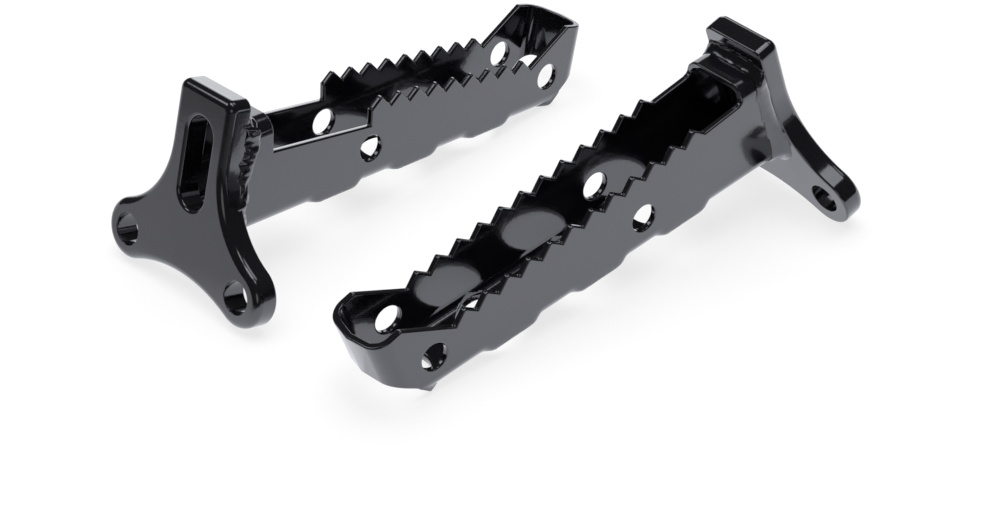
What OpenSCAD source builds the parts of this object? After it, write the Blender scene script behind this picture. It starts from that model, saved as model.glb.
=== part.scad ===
// Pair of motorcycle foot pegs: each a bolt-on plate with an open, toothed tread welded to its back.
// Millimetres, Z up, the ground at z = 0. Both pegs lie as they rest: on the two lobes and the tip's point.
// In a peg's own frame X runs from the plate's outer face to the tip, Y is across,
// and z = 0 is the tread's underside.

/* [Tread] */
// width of the rectangular tube across its side walls
tube_w = 25; // [20:0.5:32]
// height of the rectangular tube
tube_h = 37; // [30:0.5:44]
// wall thickness of the tube
wall = 2.3; // [1.6:0.1:3]
// outside corner radius of the tube
corner_r = 5.5; // [3:0.5:7]
// length from the plate's outer face, at floor level, to the ridge of the tip at its rim
tread_len = 168.8; // [150:0.2:190]
// length of the closed collar that is left beside the plate
collar_len = 25.15; // [22:0.05:30]
// rounding at the foot of the collar's cut
collar_fillet_r = 1.6; // [0.5:0.1:3]

/* [Teeth] */
// distance between two teeth
pitch = 8.25; // [7:0.05:10]
// height of a tooth above the valley beside it
tooth_h = 3.6; // [2:0.1:5]
// flat left on the crest of a tooth
crest_flat = 0.6; // [0.2:0.1:2]
// distance of the last valley from the ridge of the tip
last_valley_back = 28.72; // [24:0.02:34]
// height of the last valley above the tread's underside
last_valley_z = 18.27; // [14:0.01:22]
// fall of the line of teeth towards the tip, as rise over run
teeth_fall = 0.112; // [0:0.002:0.2]
// number of teeth on each wall of the left peg
left_teeth = 9; // [5:1:12]
// number of teeth on each wall of the right peg
right_teeth = 12; // [5:1:12]
// run from the left peg's first valley to its upright step
step_run = 0.23; // [0:0.01:4]
// depth of the left peg's step below the line of the valleys
step_drop = 5.7; // [2:0.1:9]

/* [Tip] */
// run of the straight ramp from the last valley up to the rim of the tip
ramp_run = 17.82; // [12:0.02:24]
// height of the rim above the last valley where the ramp meets it
ramp_rise = 10.83; // [6:0.01:14]
// fall of the rim towards the end of the tip, as rise over run
rim_fall = 0.235; // [0:0.005:0.4]
// plan radius of the tip's two corners
tip_corner_r = 6.5; // [4:0.5:9]
// angle of each half of the end wall in plan, so that they meet in a ridge
ridge_angle = 9; // [2:0.5:15]
// lean of the end wall, foot drawn in below the rim
end_lean = 8.5; // [0:0.5:15]
// height of the foot of the end wall above the tread's underside
end_foot_z = 10.5; // [6:0.1:14]
// run of the slanting cut under the tip, from the point to the foot of the end wall
point_run = 13.8; // [10:0.1:18]
// depth of the hollow curve of that cut
point_sag = 1.2; // [0.4:0.1:3]

/* [Holes] */
// diameter of the drawn holes in the floor
floor_hole_d = 20; // [14:0.2:20]
// width of the land pressed down round each floor hole
drawn_wall = 2.4; // [1.4:0.1:2.4]
// height that the land stands below the floor
drawn_drop = 0.3; // [0.1:0.05:1]
// rounding of the land's outer edge
land_edge_r = 1.9; // [0.5:0.1:2]
// rounding where the floor runs into a drawn hole
drawn_r = 1.4; // [0.5:0.1:2]
// distance between the centres of two floor holes
floor_pitch = 34.5; // [28:0.5:40]
// distance of the first floor hole from the plate's outer face
floor_first = 52; // [46:0.5:60]
// number of floor holes, the last of them opening into the tip
floor_holes = 4; // [3:1:4]
// diameter of the holes through the two side walls
side_hole_d = 9; // [6:0.2:11]
// height of the side holes above the tread's underside
side_hole_z = 12.8; // [9:0.1:15]
// distance of the middle side hole from the plate's outer face on the left peg
left_mid_hole = 65.9; // [58:0.1:74]
// distance of the middle side hole from the plate's outer face on the right peg
right_mid_hole = 67.9; // [58:0.1:74]
// distance of the tip's side hole from the plate's outer face
tip_side_hole = 149; // [140:0.5:152]

/* [Mounting plate] */
// thickness of the plate
plate_t = 8; // [6:0.5:10]
// rounding of the edge round the plate's outer face
edge_r = 2.7; // [1:0.1:3]
// break of the edge round the plate's back face
back_break = 0.4; // [0.1:0.1:1]
// lean of the plate against the tread
plate_lean = 11; // [0:0.5:20]
// height of the plate's top above the tread's underside, along the plate
plate_top = 47.4; // [44:0.2:52]
// radius of the plate's two upper corners
top_corner_r = 3.4; // [2.5:0.1:5]
// distance between the centres of the two bolt holes
bolt_pitch = 53; // [46:0.5:60]
// depth of the bolt holes' centres below the tread's underside, along the plate
bolt_drop = 9.6; // [6:0.1:14]
// diameter of the bolt holes
bolt_d = 10.5; // [8.4:0.1:11]
// radius of the lobe round each bolt hole
lobe_r = 10; // [9:0.1:13]
// radius of the hollow curve from the plate's straight sides out to the lobes
flank_r = 30; // [24:0.5:40]
// depth of the hollow between the two lobes below the tread's underside
arch_drop = 13.9; // [11:0.1:18]
// width of the upright slot that opens into the tread
slot_w = 11.5; // [8:0.5:14]
// height of the slot
slot_len = 30; // [20:0.5:34]
// height of the slot's foot above the tread's underside, along the plate
slot_foot = 8.4; // [6:0.2:12]
// rounding of the slot's edge on the plate's outer face
slot_edge_r = 1.2; // [0.3:0.1:1.5]

/* [Weld] */
// leg of the weld bead round the foot of the tread
bead_r = 4; // [2.5:0.1:5]
// height that the bead stands proud of the plate's own edge
bead_proud = 0.8; // [0.3:0.1:1.5]

/* [Placing] */
// distance across the pair between the two pegs' plate centres, along the left tread
pair_dx = 166.4; // [155:0.1:240]
// distance between the two pegs' plate centres, square to the left tread
pair_dy = 98.7; // [90:0.1:200]
// turn of the right peg about the upright, against the left one
right_yaw = 172.8; // [170:0.1:190]

/* [Colours] */
// red, green and blue of the black paint
paint = [0.07, 0.07, 0.08];
// red, green and blue of the painted weld
weld_paint = [0.09, 0.09, 0.1];

/* [Hidden] */
$fn = 48;
small_fn = 16;
bead_fn = 32;
wide_fn = 192;
eps = 0.01;
through = 60;
half_w = tube_w / 2;
// teeth, from the tip backwards
last_valley_x = tread_len - last_valley_back;
// tip
ramp_top_x = last_valley_x + ramp_run;
ramp_top_z = last_valley_z + ramp_rise;
rim_end_z = ramp_top_z - rim_fall * (tread_len - ramp_top_x);
corner_y = half_w - tip_corner_r;
corner_x = tread_len - (corner_y * sin(ridge_angle) + tip_corner_r) / cos(ridge_angle);
foot_x = corner_x + tip_corner_r - (rim_end_z - end_foot_z) * tan(end_lean);
point_x = foot_x - point_run;
// hollow cut from the point up to the foot of the end wall
cut_chord = norm([point_run, end_foot_z + drawn_drop]);
cut_angle = atan2(end_foot_z + drawn_drop, point_run);
cut_r = (cut_chord * cut_chord / 8 + point_sag * point_sag / 2) / point_sag;
cut_cx = point_x + cut_chord / 2 * cos(cut_angle) + (cut_r - point_sag) * sin(cut_angle);
cut_cz = -drawn_drop + cut_chord / 2 * sin(cut_angle) - (cut_r - point_sag) * cos(cut_angle);
// plate outline, every arc tangent to the next
lobe_u = bolt_pitch / 2;
flank_u = half_w + flank_r;
flank_v = -bolt_drop + sqrt(pow(flank_r + lobe_r, 2) - pow(flank_u - lobe_u, 2));
flank_turn = atan2(flank_v + bolt_drop, flank_u - lobe_u);
arch_rise = arch_drop - bolt_drop;
arch_r = (lobe_u * lobe_u + arch_rise * arch_rise - lobe_r * lobe_r) / (2 * (lobe_r - arch_rise));
arch_v = -arch_drop - arch_r;
arch_turn = atan2(lobe_u, arch_r + arch_rise);
// steps of the plate's rounded outline and edge
lobe_steps = 26;
curve_steps = 14;
corner_steps = 6;
edge_steps = 5;
// rest of a peg on the ground: the back edge of the lobes and the point under the tip
lobe_foot = bolt_drop + lobe_r;
lobe_n = plate_t - back_break;
rest_run = point_x - lobe_n * cos(plate_lean) + lobe_foot * sin(plate_lean);
rest_drop = lobe_n * sin(plate_lean) + lobe_foot * cos(plate_lean) - drawn_drop;
tilt = atan2(rest_drop, rest_run);
lift = point_x * sin(tilt) + drawn_drop * cos(tilt);
// reach of a peg from its origin: the plate's lobes one way, and the rim of the tip the other way
upright = plate_lean + tilt;
function plate_reach(across, along) = across * lobe_u + along * sin(upright) * bolt_drop
    + (lobe_r - edge_r) * norm([across, along * sin(upright)]) + edge_r * (1 - along * cos(upright));
tip_reach = tread_len * cos(tilt) + rim_end_z * sin(tilt);
turn_cos = abs(cos(right_yaw));
turn_sin = abs(sin(right_yaw));
// middle of the pair's box from the left plate
left_x = (max(pair_dx + plate_reach(turn_sin, turn_cos), tip_reach)
    + min(-plate_reach(0, 1), pair_dx - tip_reach * turn_cos)) / 2;
left_y = (pair_dy + plate_reach(turn_cos, turn_sin) - plate_reach(1, 0)) / 2;

// Placing

// both pegs stand in one frame, the left tread along X
module left_place() {
    translate([-left_x, left_y, lift]) rotate([0, tilt, 0]) children();
}

module right_place() {
    translate([pair_dx - left_x, left_y - pair_dy, lift])
        rotate([0, 0, right_yaw]) rotate([0, tilt, 0]) children();
}

// plate's own frame: X across, Y up the plate, Z through its thickness from the outer face
module on_plate() {
    rotate([0, plate_lean, 0]) rotate([90, 0, 90]) children();
}

// Mounting plate

// points of an arc of n steps without its first point
function arc(cx, cy, r, from, to, n) = [for (i = [1:n])
    let (a = from + (to - from) * i / n) [cx + r * cos(a), cy + r * sin(a)]];

// outline of the plate drawn in by d, anticlockwise from the foot of the right lobe
function outline(d) = let (
        top_u = half_w - top_corner_r, top_v = plate_top - top_corner_r, top_r = top_corner_r - d,
        corner_turn = 90 / corner_steps, flank_step = flank_turn / curve_steps)
    concat(
        arc(lobe_u, -bolt_drop, lobe_r - d, -90 - arch_turn, flank_turn, lobe_steps),
        arc(flank_u, flank_v, flank_r + d, 180 + flank_turn, 180, curve_steps),
        arc(top_u, top_v, top_r, -corner_turn, 90, corner_steps + 1),
        arc(-top_u, top_v, top_r, 90 - corner_turn, 180, corner_steps + 1),
        arc(-flank_u, flank_v, flank_r + d, flank_step, -flank_turn, curve_steps + 1),
        arc(-lobe_u, -bolt_drop, lobe_r - d, 180 - flank_turn, 270 + arch_turn, lobe_steps),
        arc(0, arch_v, arch_r + d, 90 + arch_turn, 90 - arch_turn, curve_steps));

// layers of the plate as [draw-in, height]: round at the outer face, a small break at the back
plate_layers = concat(
    [for (i = [0:edge_steps]) let (a = 90 * i / edge_steps) [edge_r * (1 - sin(a)), edge_r * (1 - cos(a))]],
    [for (i = [0:1]) [back_break * i, plate_t - back_break * (1 - i)]]);

// flat face of the plate as convex pieces: a lobe each side, bands across the middle and fans over the arch
outline_count = len(outline(0));
top_i = lobe_steps + curve_steps + corner_steps;
flank_i = lobe_steps - 1;
far_flank_i = mirrored(flank_i);
far_arch_i = far_flank_i + lobe_steps;
arch_mid_i = far_arch_i + curve_steps / 2;
function mirrored(i) = 2 * top_i + 1 - i;
plate_face = concat(
    [concat([outline_count - 1], [for (i = [0:flank_i]) i])],
    [[for (i = [far_flank_i:far_arch_i]) i]],
    [for (i = [flank_i:top_i - 1]) [i, i + 1, mirrored(i + 1), mirrored(i)]],
    [for (i = [far_arch_i:arch_mid_i - 1]) [far_flank_i, i, i + 1]],
    [[far_flank_i, arch_mid_i, flank_i]],
    [for (i = [arch_mid_i:outline_count - 2]) [flank_i, i, i + 1]]);

module plate_blank() {
    count = outline_count;
    last = len(plate_layers) - 1;
    polyhedron(
        points = [for (layer = plate_layers, p = outline(layer[0])) [p[0], p[1], layer[1]]],
        faces = concat(plate_face,
            [for (f = plate_face) [for (i = [len(f) - 1:-1:0]) last * count + f[i]]],
            [for (k = [0:last - 1], i = [0:count - 1]) let (j = (i + 1) % count)
                [k * count + i, (k + 1) * count + i, (k + 1) * count + j, k * count + j]]),
        convexity = 4);
}

// outline of the plate grown by g, up to its top edge
module grown_outline(g) {
    difference() {
        polygon([[-half_w - g, plate_top], [half_w + g, plate_top], [half_w + g, flank_v],
            [flank_u, flank_v], [lobe_u, -bolt_drop], [-lobe_u, -bolt_drop],
            [-flank_u, flank_v], [-half_w - g, flank_v]]);
        for (s = [-1, 1]) translate([s * flank_u, flank_v]) circle(r = flank_r - g);
    }
}

module slot_shape() {
    for (v = [slot_foot + slot_w / 2, slot_foot + slot_len - slot_w / 2])
        translate([0, v]) circle(d = slot_w);
    translate([-slot_w / 2, slot_foot + slot_w / 2]) square([slot_w, slot_len - slot_w]);
}

// rounded mouth of the slot: what is cut away between a straight edge and the rounding
module slot_mouth() {
    foot_v = slot_foot + slot_w / 2;
    head_v = slot_foot + slot_len - slot_w / 2;
    translate([0, foot_v, 0]) rotate([0, 0, 180]) rotate_extrude(angle = 180) mouth_section();
    translate([0, head_v, 0]) rotate_extrude(angle = 180) mouth_section();
    translate([0, head_v, 0]) rotate([90, 0, 0]) linear_extrude(height = head_v - foot_v) {
        mouth_section();
        mirror([1, 0, 0]) mouth_section();
    }
}

module mouth_section() {
    difference() {
        translate([0, -eps]) square([slot_w / 2 + slot_edge_r, slot_edge_r + eps]);
        translate([slot_w / 2 + slot_edge_r, slot_edge_r]) circle(r = slot_edge_r, $fn = small_fn);
    }
}

module mounting_plate() {
    color(paint) on_plate() difference() {
        plate_blank();
        for (s = [-1, 1]) translate([s * lobe_u, -bolt_drop, -eps])
            cylinder(h = plate_t + 2 * eps, d = bolt_d);
        translate([0, 0, -eps]) linear_extrude(height = plate_t + 2 * eps) slot_shape();
        slot_mouth();
    }
}

// Tread

// rounded rectangle of the tube drawn in by inset, run along X
module tube_bar(inset, x0, x1) {
    r = corner_r - inset;
    w = half_w - inset;
    translate([x0, 0, 0]) rotate([90, 0, 90]) linear_extrude(height = x1 - x0) {
        translate([-w + r, inset]) square([2 * (w - r), tube_h - 2 * inset]);
        translate([-w, inset + r]) square([2 * w, tube_h - 2 * (inset + r)]);
        for (y = [-w + r, w - r], z = [inset + r, tube_h - inset - r])
            translate([y, z]) circle(r = r);
    }
}

// plan of the tip drawn in by inset, leaning with the end wall
module tip_plan(inset) {
    r = tip_corner_r - inset;
    cy = corner_y;
    reach = r / cos(ridge_angle) + cy * tan(ridge_angle);
    translate([corner_x, 0, rim_end_z]) rotate([0, end_lean, 0]) translate([0, 0, -through])
        linear_extrude(height = 2 * through) {
            translate([-tread_len - through, inset - half_w])
                square([tread_len + through, tube_w - 2 * inset]);
            for (y = [-cy, cy]) translate([0, y]) circle(r = r);
            polygon([[-r, -cy], [r * cos(ridge_angle), -cy - r * sin(ridge_angle)], [reach, 0],
                     [r * cos(ridge_angle), cy + r * sin(ridge_angle)], [-r, cy]]);
        }
}

// height of the line of valleys over x
function valley_z(x) = last_valley_z + teeth_fall * (last_valley_x - x);

// crests and valleys of n teeth, from the tip towards the plate
function tooth_points(n) = [for (i = [1:n], side = [1, -1, 0])
    let (x = last_valley_x - i * pitch + (side == 0 ? 0 : (pitch + side * crest_flat) / 2))
    [x, valley_z(x) + (side == 0 ? 0 : tooth_h)]];

// edge between the collar and the first tooth: a lower edge with a step, or the line of the valleys
function edge_points(n, step) = let (x = last_valley_x - n * pitch - step_run) concat(
    step > 0 ? [[x, valley_z(x)], [x, valley_z(x) - step]] : [],
    [[collar_len, valley_z(collar_len) - step]]);

// side view of a tread: teeth above, and under the tip the hollow cut up from its point
module side_profile(n, step) {
    difference() {
        polygon(concat([[-through, tube_h + eps], [-through, -drawn_drop], [point_x, -drawn_drop],
            [foot_x, end_foot_z], [tread_len + through, end_foot_z],
            [tread_len + through, rim_end_z - rim_fall * through],
            [ramp_top_x, ramp_top_z], [last_valley_x, last_valley_z]],
            tooth_points(n), edge_points(n, step), [[collar_len, tube_h + eps]]));
        translate([cut_cx, cut_cz]) circle(r = cut_r, $fn = wide_fn);
    }
}

// the same with a fillet at the foot of the collar's cut
module rounded_profile(n, step) {
    side_profile(n, step);
    z = valley_z(collar_len) - step;
    difference() {
        translate([collar_len - eps, z - collar_fillet_r * teeth_fall - eps])
            square([collar_fillet_r + eps, collar_fillet_r * (1 + teeth_fall) + eps]);
        translate([collar_len + collar_fillet_r, z + collar_fillet_r]) circle(r = collar_fillet_r);
    }
}

module floor_ring_places() {
    for (i = [0:floor_holes - 1]) translate([floor_first + i * floor_pitch, 0, 0]) children();
}

// land under the floor round a hole, before the hole is cut
module drawn_land() {
    r = floor_hole_d / 2 + drawn_wall;
    rotate_extrude() {
        translate([0, -drawn_drop]) square([r - land_edge_r, drawn_drop + corner_r]);
        translate([0, land_edge_r - drawn_drop]) square([r, corner_r + drawn_drop - land_edge_r]);
        translate([r - land_edge_r, land_edge_r - drawn_drop]) circle(r = land_edge_r);
    }
}

// hole with its rounded entry from the floor above
module drawn_hole() {
    r = floor_hole_d / 2;
    translate([0, 0, -through]) cylinder(h = through + corner_r, r = r);
    rotate_extrude() difference() {
        translate([0, wall - drawn_r]) square([r + drawn_r, drawn_r + eps]);
        translate([r + drawn_r, wall - drawn_r]) circle(r = drawn_r, $fn = small_fn);
    }
}

module tread(n, step, mid_hole, fillet) {
    color(paint) difference() {
        intersection() {
            union() {
                tube_bar(0, 0, tread_len + corner_r);
                floor_ring_places() drawn_land();
            }
            tip_plan(0);
            translate([0, half_w + eps, 0]) rotate([90, 0, 0]) linear_extrude(height = tube_w + 2 * eps)
                if (fillet) rounded_profile(n, step); else side_profile(n, step);
        }
        intersection() {
            tube_bar(wall, -corner_r, tread_len + corner_r);
            tip_plan(wall);
        }
        floor_ring_places() drawn_hole();
        for (x = [mid_hole, tip_side_hole]) translate([x, half_w + eps, side_hole_z]) rotate([90, 0, 0])
            cylinder(h = tube_w + 2 * eps, d = side_hole_d);
        plate_side();
    }
}

// everything on the plate's side of its back face
module plate_side() {
    rotate([0, plate_lean, 0]) translate([plate_t - 2 * through, -through, -through])
        cube([2 * through, 2 * through, 3 * through]);
}

// Weld bead

// rounded bead that follows the tread's foot round the plate's back face
module weld_bead() {
    rise = tube_h / cos(plate_lean);
    foot = plate_t * tan(plate_lean);
    color(weld_paint) difference() {
        on_plate() intersection() {
            translate([0, foot, plate_t]) {
                for (s = [-1, 1]) {
                    translate([s * half_w, corner_r, 0]) rotate([-90, 0, 0])
                        cylinder(h = rise - 2 * corner_r, r = bead_r, $fn = bead_fn);
                    bead_corner(s * (half_w - corner_r), corner_r, s > 0 ? -90 : 180);
                    bead_corner(s * (half_w - corner_r), rise - corner_r, s > 0 ? 0 : 90);
                }
                for (v = [0, rise]) translate([corner_r - half_w, v, 0]) rotate([0, 90, 0])
                    cylinder(h = tube_w - 2 * corner_r, r = bead_r, $fn = bead_fn);
            }
            translate([0, 0, plate_t]) linear_extrude(height = 2 * bead_r) grown_outline(bead_proud);
        }
        tube_bar(0, 0, tread_len);
    }
}

module bead_corner(u, v, turn) {
    translate([u, v, 0]) rotate([0, 0, turn]) rotate_extrude(angle = 90)
        translate([corner_r, 0]) circle(r = bead_r, $fn = bead_fn);
}

module left_mounting_plate() left_place() mounting_plate();
module left_tread() left_place() tread(left_teeth, step_drop, left_mid_hole, false);
module left_weld_bead() left_place() weld_bead();
module right_mounting_plate() right_place() mounting_plate();
module right_tread() right_place() tread(right_teeth, 0, right_mid_hole, true);
module right_weld_bead() right_place() weld_bead();

left_mounting_plate();
left_tread();
left_weld_bead();
right_mounting_plate();
right_tread();
right_weld_bead();
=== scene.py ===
import bpy, bmesh
from math import atan2, cos, pi, radians, sin
from mathutils import Matrix, Vector, noise
from mathutils.bvhtree import BVHTree


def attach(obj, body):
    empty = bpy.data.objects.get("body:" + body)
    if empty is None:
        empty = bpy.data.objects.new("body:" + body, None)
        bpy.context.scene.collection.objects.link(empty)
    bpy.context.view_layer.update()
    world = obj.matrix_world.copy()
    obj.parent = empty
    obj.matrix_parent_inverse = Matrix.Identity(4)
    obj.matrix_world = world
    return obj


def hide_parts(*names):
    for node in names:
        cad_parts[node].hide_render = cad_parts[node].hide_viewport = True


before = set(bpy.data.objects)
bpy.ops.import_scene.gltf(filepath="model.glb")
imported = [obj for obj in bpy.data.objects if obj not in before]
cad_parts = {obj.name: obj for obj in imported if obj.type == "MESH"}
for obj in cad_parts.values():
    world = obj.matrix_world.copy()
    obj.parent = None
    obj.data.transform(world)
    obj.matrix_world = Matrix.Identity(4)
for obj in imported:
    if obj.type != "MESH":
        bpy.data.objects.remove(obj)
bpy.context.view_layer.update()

# Treads. Each is one length of rectangular steel tube, cut open and toothed along its top, with holes drawn through
# its floor and its end folded shut. The cut edges are broken by the paint, which is sprayed on in a thick gloss coat.
paint_dark = (0.0035, 0.0033, 0.0045, 1)
paint_light = (0.0065, 0.0062, 0.0082, 1)
cut_edge_round = 0.0006
floor_height = 0.0045
tube_half_w, tube_corner = 0.0125, 0.0055
first_floor_hole, floor_pitch = 0.052, 0.0345
bulge_start, bulge_end, bulge_step, swell_r = 0.0384, 0.1346, 0.0013, 0.0136
tilt = radians(7.852)
peg_place = {
    "left": Matrix.Translation((-0.084935, 0.049254, 0.021004)) @ Matrix.Rotation(tilt, 4, "Y"),
    "right": Matrix.Translation((0.081465, -0.049446, 0.021004)) @ Matrix.Rotation(radians(172.8), 4, "Z")
    @ Matrix.Rotation(tilt, 4, "Y"),
}


def merged_copy(node):
    """The steel shape of a node as one closed mesh with whole flat faces."""
    steel = bmesh.new()
    steel.from_mesh(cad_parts[node].data)
    bmesh.ops.remove_doubles(steel, verts=steel.verts, dist=2e-6)
    bmesh.ops.dissolve_limit(steel, angle_limit=radians(0.4), verts=steel.verts, edges=steel.edges)
    return steel


def round_edges(steel, radius, to_peg, lowest, steps=3, from_angle=32):
    """Rounds the sharp edges that lie above a height in the peg's own frame."""
    edges = [e for e in steel.edges if e.is_manifold and e.calc_face_angle() > radians(from_angle)
             and min((to_peg @ v.co).z for v in e.verts) > lowest]
    bmesh.ops.bevel(steel, geom=edges, offset=radius, offset_type="OFFSET", affect="EDGES", segments=steps,
                    profile=0.5, material=-1, clamp_overlap=False)


def bulge_lower_edges(steel, to_peg):
    """Fills out the tube's rounded lower edges beside each floor hole, where the hole's land was pressed down."""
    from_peg = to_peg.inverted()
    along = (from_peg.to_3x3() @ Vector((1, 0, 0))).normalized()

    def from_corner(p):
        side_y, down = abs(p.y) - (tube_half_w - tube_corner), tube_corner - p.z
        return side_y, down, (side_y ** 2 + down ** 2) ** 0.5

    def on_corner(v):
        side_y, down, reach = from_corner(to_peg @ v.co)
        return min(side_y, down) > -0.0001 and reach > tube_corner - 0.0005

    for step in range(int((bulge_end - bulge_start) / bulge_step) + 1):
        low = [f for f in steel.faces if all(on_corner(v) for v in f.verts)]
        low_edges = {e for f in low for e in f.edges}
        low_verts = {v for f in low for v in f.verts}
        cut = from_peg @ Vector((bulge_start + step * bulge_step, 0, 0))
        bmesh.ops.bisect_plane(steel, geom=low + list(low_edges) + list(low_verts), dist=1e-6, plane_co=cut,
                               plane_no=along)
    for v in steel.verts:
        p = to_peg @ v.co
        side_y, down, reach = from_corner(p)
        if side_y <= 0 or down <= 0 or reach < tube_corner - 0.0005 or not bulge_start < p.x < bulge_end:
            continue
        from_hole = (p.x - first_floor_hole + floor_pitch / 2) % floor_pitch - floor_pitch / 2
        chord = max(0, swell_r ** 2 - from_hole ** 2) ** 0.5
        square = min(8, 2 + 0.066 * (1000 * max(0, chord - tube_half_w + tube_corner)) ** 3)
        full = tube_corner * ((side_y / reach) ** square + (down / reach) ** square) ** (-1 / square)
        if full > reach:
            p.y += (side_y * (full / reach - 1)) * (1 if p.y > 0 else -1)
            p.z -= down * (full / reach - 1)
            v.co = from_peg @ p


def finished_piece(steel, name, material, node, crease=38):
    """Turns a mesh into the piece that stands for its node."""
    for face in steel.faces:
        face.smooth = True
    for edge in steel.edges:
        edge.smooth = not (edge.is_manifold and edge.calc_face_angle() > radians(crease))
    mesh = bpy.data.meshes.new(name)
    steel.to_mesh(mesh)
    steel.free()
    mesh.materials.append(material)
    piece = bpy.data.objects.new(name, mesh)
    bpy.context.scene.collection.objects.link(piece)
    even = piece.modifiers.new("even shading on flat faces", "WEIGHTED_NORMAL")
    even.keep_sharp = True
    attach(piece, "root")
    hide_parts(node)
    return piece


def gloss_black(name, peel=0.012, wave=0.05):
    """Gloss black paint: a dark coat that mirrors its surroundings, with orange peel and slow waves in the coat."""
    material = bpy.data.materials.new(name)
    material.use_nodes = True
    nodes, links = material.node_tree.nodes, material.node_tree.links
    paint = nodes["Principled BSDF"]
    paint.inputs["Specular IOR Level"].default_value = 1.0
    paint.inputs["Specular Tint"].default_value = (0.9, 0.91, 1.0, 1)
    paint.inputs["Coat Weight"].default_value = 1.0
    paint.inputs["Coat Roughness"].default_value = 0.045
    place = nodes.new("ShaderNodeTexCoord")

    def cloud(scale, detail):
        texture = nodes.new("ShaderNodeTexNoise")
        texture.inputs["Scale"].default_value = scale
        texture.inputs["Detail"].default_value = detail
        links.new(place.outputs["Object"], texture.inputs["Vector"])
        return texture.outputs["Fac"]

    shade = nodes.new("ShaderNodeMix")
    shade.data_type = "RGBA"
    shade.inputs["A"].default_value = paint_dark
    shade.inputs["B"].default_value = paint_light
    links.new(cloud(70, 3), shade.inputs["Factor"])
    links.new(shade.outputs["Result"], paint.inputs["Base Color"])
    haze = nodes.new("ShaderNodeMapRange")
    haze.inputs["To Min"].default_value = 0.09
    haze.inputs["To Max"].default_value = 0.17
    links.new(cloud(180, 4), haze.inputs["Value"])
    links.new(haze.outputs["Result"], paint.inputs["Roughness"])
    fine = nodes.new("ShaderNodeBump")
    fine.inputs["Strength"].default_value = peel
    fine.inputs["Distance"].default_value = 0.001
    links.new(cloud(900, 1), fine.inputs["Height"])
    slow = nodes.new("ShaderNodeBump")
    slow.inputs["Strength"].default_value = wave
    slow.inputs["Distance"].default_value = 0.001
    links.new(cloud(60, 1), slow.inputs["Height"])
    links.new(fine.outputs["Normal"], slow.inputs["Normal"])
    links.new(slow.outputs["Normal"], paint.inputs["Normal"])
    links.new(slow.outputs["Normal"], paint.inputs["Coat Normal"])
    return material


tube_paint = gloss_black("gloss_black_on_tube")
for side in ("left", "right"):
    tube = merged_copy(f"{side}_tread")
    round_edges(tube, cut_edge_round, peg_place[side].inverted(), floor_height)
    bulge_lower_edges(tube, peg_place[side].inverted())
    finished_piece(tube, f"{side}_painted_tread", tube_paint, f"{side}_tread")

# Mounting plates. Each is cut from thick steel plate, with the edge of its outer face worn round before painting.
# Two bolts hold it on, and the paint pools a little deeper on its broad face.
plate_paint = gloss_black("gloss_black_on_plate", peel=0.014, wave=0.09)
for side in ("left", "right"):
    plate = merged_copy(f"{side}_mounting_plate")
    round_edges(plate, 0.0003, peg_place[side].inverted(), -1)
    finished_piece(plate, f"{side}_painted_plate", plate_paint, f"{side}_mounting_plate")

# Weld beads. Each is laid by hand round the foot of the tread on the back of the plate, and is painted over with the
# rest. The left one is lumpy and laps over the plate's edge, the right one is smooth, and each stops in a round crater.
plate_lean = radians(11)
tube_half_h, tube_middle, plate_t, bead_r = 0.01885, 0.0204, 0.008, 0.004
lap_height = 0.0016
welds = {"left": {"crater": (-0.0142, 0.0172), "hollow": 1.15, "lumps": 0.00042, "lap": 0.0016, "leg": 0.0050, "even": 2},
         "right": {"crater": (0.0142, 0.0172), "hollow": 0.62, "lumps": 0.00010, "lap": 0.0003, "leg": 0.0070, "even": 8}}


def place_on_bead(across, up):
    """The direction straight out from the tube's wall at a point of the bead, and how far out the point lies."""
    flat_u, flat_v = tube_half_w - tube_corner, tube_half_h - tube_corner
    out = Vector((0, across - max(-flat_u, min(flat_u, across)), up - max(-flat_v, min(flat_v, up))))
    return out.normalized(), out.length - tube_corner


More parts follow.
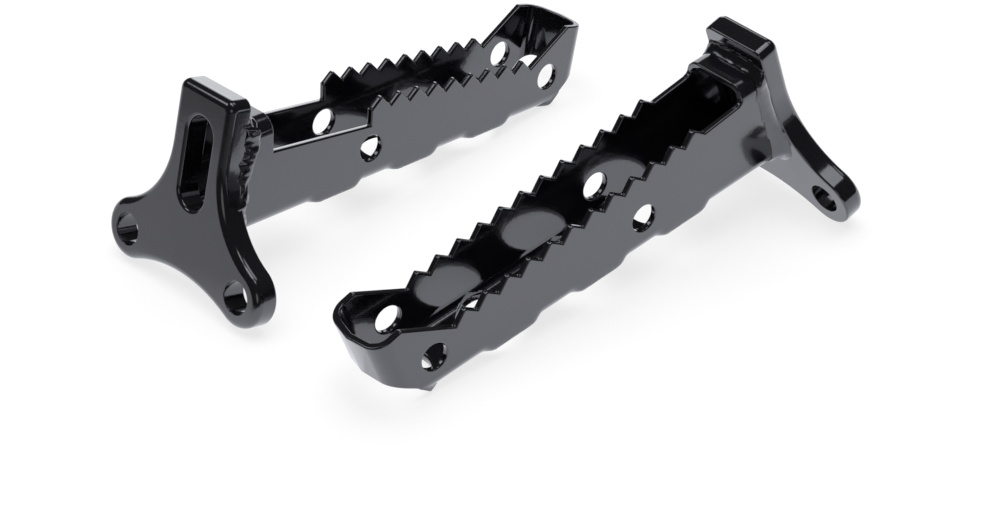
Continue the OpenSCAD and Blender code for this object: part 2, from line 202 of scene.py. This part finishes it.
for side, look in welds.items():
    lump = merged_copy(f"{side}_weld_bead")
    rough_mesh = bpy.data.meshes.new("weld_metal")
    lump.to_mesh(rough_mesh)
    lump.free()
    rough = bpy.data.objects.new("weld_metal", rough_mesh)
    bpy.context.scene.collection.objects.link(rough)
    cells = rough.modifiers.new("even cells", "REMESH")
    cells.mode = "VOXEL"
    cells.voxel_size = 0.00034
    even_mesh = bpy.data.meshes.new_from_object(rough.evaluated_get(bpy.context.evaluated_depsgraph_get()))
    bpy.data.objects.remove(rough)
    weld = bmesh.new()
    weld.from_mesh(even_mesh)
    steel = merged_copy(f"{side}_mounting_plate")
    plate_skin = BVHTree.FromBMesh(steel)
    steel.free()
    on_plate = (peg_place[side] @ Matrix.Rotation(plate_lean, 4, "Y")
                @ Matrix.Translation((plate_t, 0, tube_middle)))
    to_plate = on_plate.inverted()
    into_plate = (on_plate.to_3x3() @ Vector((-1, 0, 0))).normalized()
    for v in weld.verts:
        p = to_plate @ v.co
        outward, out = place_on_bead(p.y, p.z)
        turn = atan2(max(p.x, 0), max(out, 1e-6))
        low = min(1, max(0, 0.5 - p.z / 0.036))
        leg = look["leg"] - 0.0012 * low + 0.0022 * noise.noise(p * 170) * look["lumps"] / 0.0004
        bend = look["hollow"]
        reach = ((cos(turn) / bead_r) ** bend + (sin(turn) / leg) ** bend) ** (-1 / bend)
        grow = reach / bead_r - 1
        shift = Vector((p.x, 0, 0)) * grow + outward * out * grow
        if p.x < lap_height and plate_skin.ray_cast(v.co - into_plate * 0.0004, into_plate, 0.003)[0] is None:
            drop = 1 - max(p.x, 0) / lap_height
            shift -= Vector((look["lap"] * (0.8 + 1.4 * noise.noise(p * 230)), 0, 0)) * drop
            shift -= outward * 0.0006 * drop
        away = Vector((0, p.y - look["crater"][0], p.z - look["crater"][1])).length / 0.0021
        blob = 0.0007 * (min(1, max(0, 1.6 - away)) ** 2 - 0.5 * min(1, max(0, 1 - away)) ** 2)
        shift += (outward + Vector((1, 0, 0))) * blob
        shift += (outward + Vector((1, 0, 0))) * look["lumps"] * (noise.noise(p * 260) + 0.5 * noise.noise(p * 610))
        v.co = on_plate @ (p + shift)
    for turn in range(look["even"]):
        bmesh.ops.smooth_vert(weld, verts=weld.verts, factor=0.5, use_axis_x=True, use_axis_y=True, use_axis_z=True)
    bead_paint = gloss_black(f"gloss_black_on_{side}_weld", peel=0.012, wave=2 * look["lumps"] / 0.0004 * 0.08)
    finished_piece(weld, f"{side}_weld", bead_paint, f"{side}_weld_bead", crease=80)

# Floor: a plain white sheet. It shows white to the camera under the soft shadow of the pegs. To glossy rays it glows
# with a painted reflection: white near the pegs, with painted shade darker towards the sheet's far and front edges.
sheet = bmesh.new()
bmesh.ops.create_grid(sheet, x_segments=1, y_segments=1, size=2.5)
bmesh.ops.translate(sheet, verts=sheet.verts, vec=(0, 0, -0.00005))
floor_mesh = bpy.data.meshes.new("white_floor")
sheet.to_mesh(floor_mesh)
sheet.free()
floor = bpy.data.objects.new("white_floor", floor_mesh)
bpy.context.scene.collection.objects.link(floor)
white = bpy.data.materials.new("white_sheet")
white.use_nodes = True
nodes, links = white.node_tree.nodes, white.node_tree.links
matt = nodes["Principled BSDF"]
matt.inputs["Base Color"].default_value = (0.86, 0.86, 0.87, 1)
matt.inputs["Roughness"].default_value = 0.9
matt.inputs["Specular IOR Level"].default_value = 0.1
spot = nodes.new("ShaderNodeTexCoord")


def measured(operation, vector):
    """A distance from a point, or a distance along a direction, on the sheet."""
    gauge = nodes.new("ShaderNodeVectorMath")
    gauge.operation = operation
    links.new(spot.outputs["Object"], gauge.inputs[0])
    gauge.inputs[1].default_value = vector
    return gauge.outputs["Value"]


def fade(value, start, end, before, after):
    """One value up to the start, and another from the end on, with a soft change between."""
    ramp = nodes.new("ShaderNodeMapRange")
    ramp.interpolation_type = "SMOOTHSTEP"
    ramp.inputs["From Min"].default_value = start
    ramp.inputs["From Max"].default_value = end
    ramp.inputs["To Min"].default_value = before
    ramp.inputs["To Max"].default_value = after
    links.new(value, ramp.inputs["Value"])
    return ramp.outputs["Result"]


def combined(operation, first, second):
    node = nodes.new("ShaderNodeMath")
    node.operation = operation
    for socket, value in zip(node.inputs, (first, second)):
        if isinstance(value, float):
            socket.default_value = value
        else:
            links.new(value, socket)
    return node.outputs["Value"]


# Painted reflection: a glow that only glossy rays see, with painted shade darker towards the sheet's far and front
# edges.
to_back_left = measured("DOT_PRODUCT", (-0.818, 0.576, 0.0))
painted_reflection_level = combined("MULTIPLY", combined("MULTIPLY", fade(to_back_left, 0.09, 0.17, 1.0, 0.5),
                                         fade(to_back_left, 0.42, 0.54, 1.0, 0.3)),
                    fade(measured("DOT_PRODUCT", (-0.703, -0.711, 0.0)), 0.115, 0.18, 1.0, 0.04))
painted_reflection_glow = nodes.new("ShaderNodeEmission")
painted_reflection_glow.inputs["Color"].default_value = (0.93, 0.94, 1, 1)
links.new(painted_reflection_level, painted_reflection_glow.inputs["Strength"])
to_camera = nodes.new("ShaderNodeEmission")
ray = nodes.new("ShaderNodeLightPath")
shown = nodes.new("ShaderNodeMixShader")
links.new(combined("MULTIPLY", ray.outputs["Is Camera Ray"], 0.78), shown.inputs["Fac"])
links.new(matt.outputs["BSDF"], shown.inputs[1])
links.new(to_camera.outputs["Emission"], shown.inputs[2])
all_rays = nodes.new("ShaderNodeMixShader")
links.new(combined("MULTIPLY", ray.outputs["Is Glossy Ray"], 0.85), all_rays.inputs["Fac"])
links.new(shown.outputs["Shader"], all_rays.inputs[1])
links.new(painted_reflection_glow.outputs["Emission"], all_rays.inputs[2])
links.new(all_rays.outputs["Shader"], nodes["Material Output"].inputs["Surface"])
floor_mesh.materials.append(white)

# Light: a wide soft lamp overhead, in a dim room with soft bright panels that the gloss paint mirrors: a wide one low at
# the back right, one high at the back left, one straight overhead and a weak one beside the camera.
lamp = bpy.data.lights.new("overhead_lamp", "AREA")
lamp.shape = "DISK"
lamp.size, lamp.energy = 1.7, 26
overhead = bpy.data.objects.new("overhead_lamp", lamp)
bpy.context.scene.collection.objects.link(overhead)
overhead.location = (0.15, 0.2, 1.3)
overhead.visible_glossy = False
overhead.visible_camera = False
room = bpy.data.worlds.new("dim_room")
bpy.context.scene.world = room
room.use_nodes = True
nodes, links = room.node_tree.nodes, room.node_tree.links
spot = nodes.new("ShaderNodeTexCoord")
panels = [((0.667, 0.644, 0.375), 8, 14, 1.5), ((-0.387, 0.568, 0.729), 8, 13, 1.9),
          ((0.067, -0.33, 0.942), 5, 9, 1.8), ((0.702, 0.704, 0.105), 6, 10, 1.6),
          ((0.07, 0.02, 0.997), 9, 14, 2.2), ((-0.66, -0.66, 0.36), 9, 16, 0.6),
          ((0.536, -0.095, 0.839), 5, 14, 1.5)]
brightness = 0.035
for towards, core, rim, strength in panels:
    facing = nodes.new("ShaderNodeVectorMath")
    facing.operation = "DOT_PRODUCT"
    links.new(spot.outputs["Generated"], facing.inputs[0])
    facing.inputs[1].default_value = towards
    glow = fade(facing.outputs["Value"], cos(radians(rim)), cos(radians(core)), 0.0, strength)
    brightness = combined("ADD", glow, brightness)
seen = nodes.new("ShaderNodeBackground")
links.new(brightness, seen.inputs["Strength"])
seen.inputs["Color"].default_value = (0.97, 0.98, 1, 1)
clear = nodes.new("ShaderNodeBackground")
clear.inputs["Color"].default_value = (1, 1, 1, 1)
ray = nodes.new("ShaderNodeLightPath")
either = nodes.new("ShaderNodeMixShader")
links.new(ray.outputs["Is Camera Ray"], either.inputs["Fac"])
links.new(seen.outputs["Background"], either.inputs[1])
links.new(clear.outputs["Background"], either.inputs[2])
links.new(either.outputs["Shader"], nodes["World Output"].inputs["Surface"])

# Camera: a long lens looking down on the pair from its left front, turned a little about its own axis.
lens = bpy.data.cameras.new("camera")
lens.lens = 71.918
lens.sensor_width = 36
lens.sensor_fit = "HORIZONTAL"
camera = bpy.data.objects.new("camera", lens)
bpy.context.scene.collection.objects.link(camera)
camera.matrix_world = (Matrix.Translation((-0.36496, -0.37121, 0.37920)) @ Matrix.Rotation(radians(-44.657), 4, "Z")
                       @ Matrix.Rotation(radians(53.023), 4, "X") @ Matrix.Rotation(radians(-2.051), 4, "Z"))
bpy.context.scene.camera = camera

bpy.context.scene.view_settings.view_transform = "Standard"
